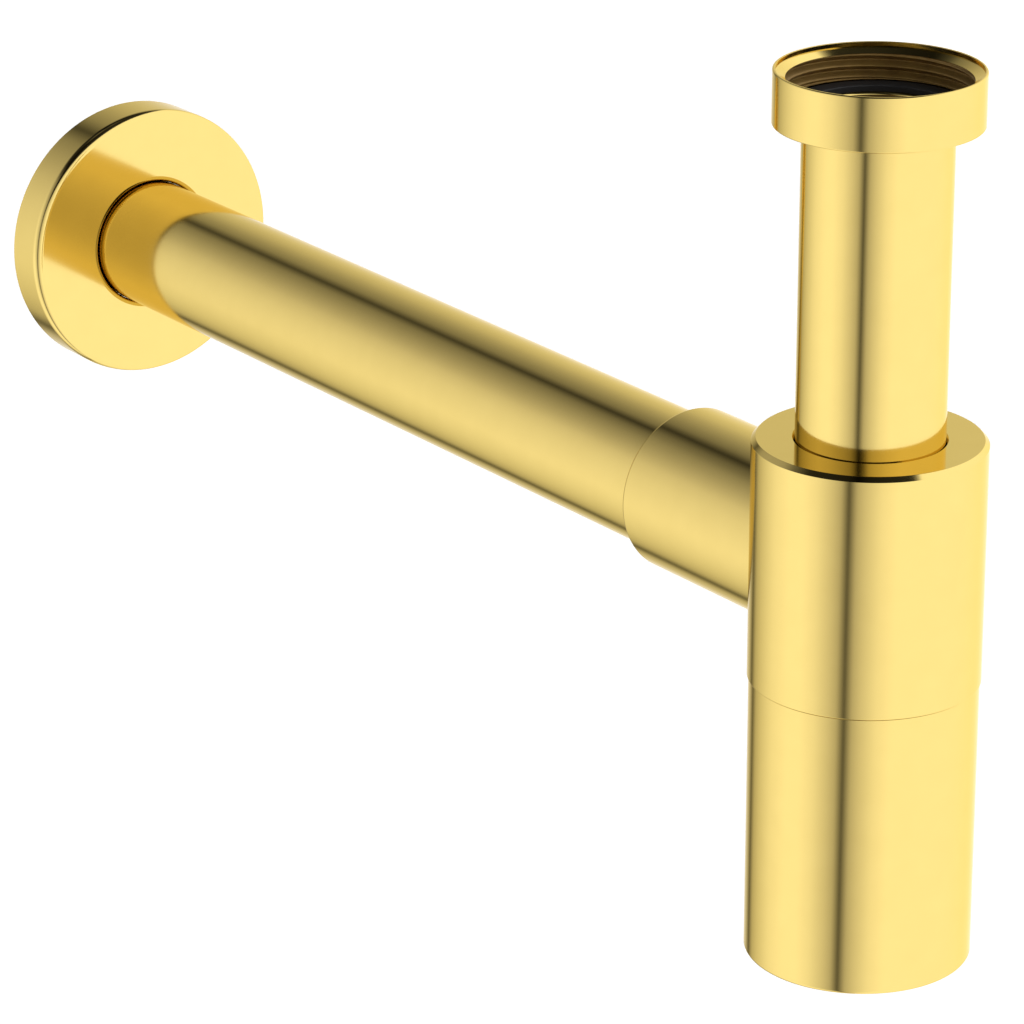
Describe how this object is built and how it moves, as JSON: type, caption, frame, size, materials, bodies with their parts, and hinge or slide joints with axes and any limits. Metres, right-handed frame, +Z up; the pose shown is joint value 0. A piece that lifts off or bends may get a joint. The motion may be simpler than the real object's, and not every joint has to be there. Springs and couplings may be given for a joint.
{
  "type": "basin bottle trap",
  "caption": "Bottle trap for a washbasin: union nut and dip tube, bottle with a screw-off cleaning cup, horizontal outlet tube and wall rosette, in satin gold.",
  "frame": {"origin": "on the wall tube's axis, in the plane of the finished wall (the rosette's back face)", "axes": "+Y along the wall tube into the wall, +Z up, so the bottle's axis is vertical at Y = -300 mm"},
  "size_m": [0.07, 0.3512, 0.1987],
  "materials": {
    "gold_brass": "satin-polished brass with a gold coating",
    "black_rubber": "moulded",
    "white_plastic": "moulded"
  },
  "bodies": {
    "wall_tube": {"wall_tube": "gold_brass"},
    "rosette_grip": {"rosette_o_ring": "black_rubber"},
    "rosette": {"rosette": "gold_brass"},
    "outlet_seals": {"outlet_o_ring_inner": "black_rubber", "outlet_o_ring_outer": "black_rubber"},
    "trap_body": {"body": "gold_brass"},
    "inlet_seals": {"inlet_o_ring_upper": "black_rubber", "inlet_o_ring_lower": "black_rubber"},
    "inlet_tube": {"inlet_tube": "gold_brass", "inlet_washer": "black_rubber"},
    "nut_ring": {"nut_slip_ring": "white_plastic"},
    "union_nut": {"inlet_nut": "gold_brass"},
    "cup_ring": {"cup_seal": "black_rubber"},
    "cup": {"cup": "gold_brass"}
  },
  "joints": [
    {"name": "rosette_slide", "type": "slide", "parent": "wall_tube", "child": "rosette_grip", "axis": [0, -1, 0], "range_m": [0, 0.22]},
    {"name": "rosette_turn", "type": "hinge", "parent": "rosette_grip", "child": "rosette", "pos_m": [0, 0, 0], "axis": [0, 1, 0], "continuous": true},
    {"name": "outlet_slide", "type": "slide", "parent": "wall_tube", "child": "outlet_seals", "axis": [0, 1, 0], "range_m": [-0.012, 0.0022]},
    {"name": "trap_swivel", "type": "hinge", "parent": "outlet_seals", "child": "trap_body", "pos_m": [0, -0.3, 0], "axis": [0, 1, 0], "continuous": true},
    {"name": "inlet_swivel", "type": "hinge", "parent": "trap_body", "child": "inlet_seals", "pos_m": [0, -0.3, 0], "axis": [0, 0, 1], "continuous": true},
    {"name": "inlet_slide", "type": "slide", "parent": "inlet_seals", "child": "inlet_tube", "axis": [0, 0, 1], "range_m": [-0.01, 0.009]},
    {"name": "nut_slide", "type": "slide", "parent": "inlet_tube", "child": "nut_ring", "axis": [0, 0, 1], "range_m": [-0.058, 0]},
    {"name": "nut_turn", "type": "hinge", "parent": "nut_ring", "child": "union_nut", "pos_m": [0, -0.3, 0.1], "axis": [0, 0, 1], "continuous": true},
    {"name": "cup_drop", "type": "slide", "parent": "trap_body", "child": "cup_ring", "axis": [0, 0, -1], "range_m": [0, 0.008]},
    {"name": "cup_turn", "type": "hinge", "parent": "cup_ring", "child": "cup", "pos_m": [0, -0.3, -0.05], "axis": [0, 0, -1], "range_deg": [0, 1440]}
  ],
  "couplings": [
    {"joint": "cup_drop", "follows": "cup_turn", "m_per_rad": 0.00031831}
  ]
}
